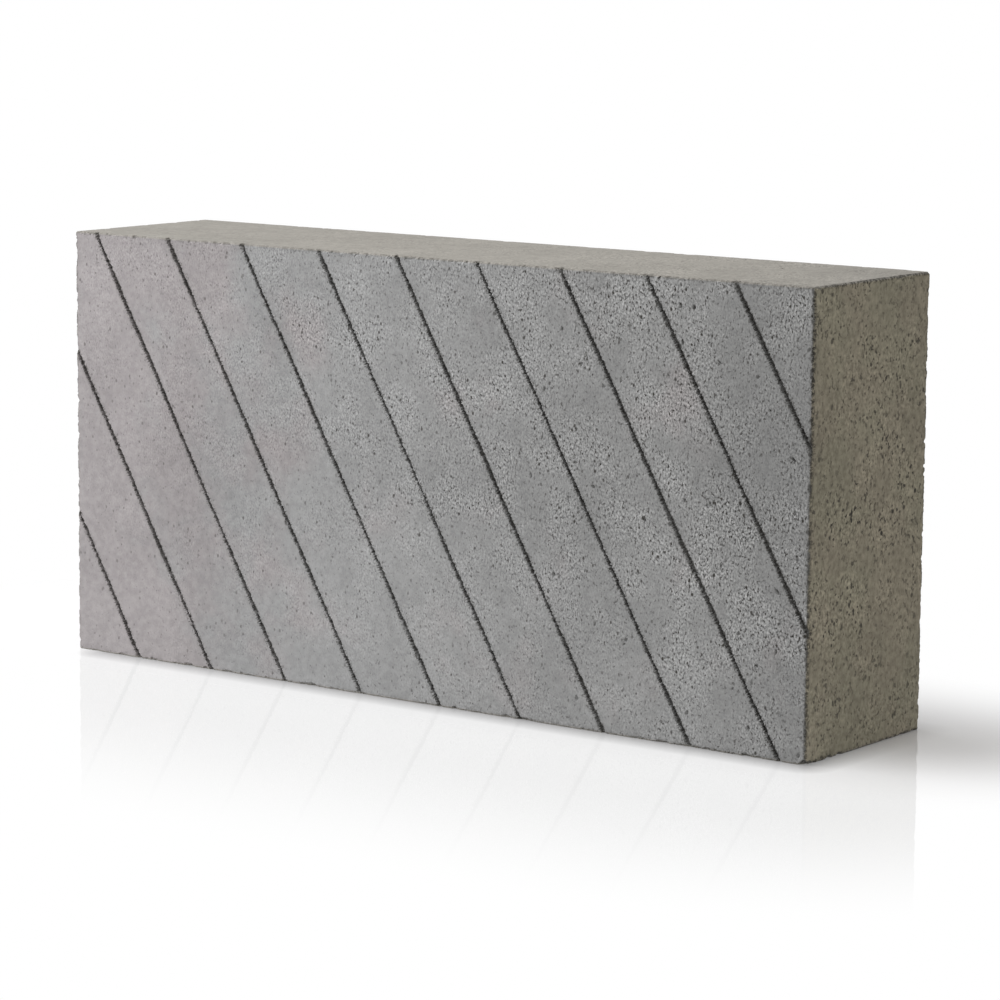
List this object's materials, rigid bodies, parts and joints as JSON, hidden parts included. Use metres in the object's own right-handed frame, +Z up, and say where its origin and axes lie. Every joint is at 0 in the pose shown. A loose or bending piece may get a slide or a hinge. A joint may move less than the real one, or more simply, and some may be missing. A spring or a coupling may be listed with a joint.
{
  "type": "aircrete block",
  "caption": "Solid rectangular aircrete wall block with square wire-cut faces, lightly worn arrises and straight scored key lines across its keyed face, for laying in mortar.",
  "frame": {"origin": "middle of the bed face that the block stands on", "axes": "+X along the length, +Y through the thickness from the keyed face to the plain back face, +Z up the height"},
  "size_m": [0.44, 0.1, 0.215],
  "materials": {
    "aircrete": "matt grey aerated concrete, wire cut, with fine open pores"
  },
  "bodies": {
    "root": {"aircrete_block": "aircrete"}
  },
  "joints": []
}
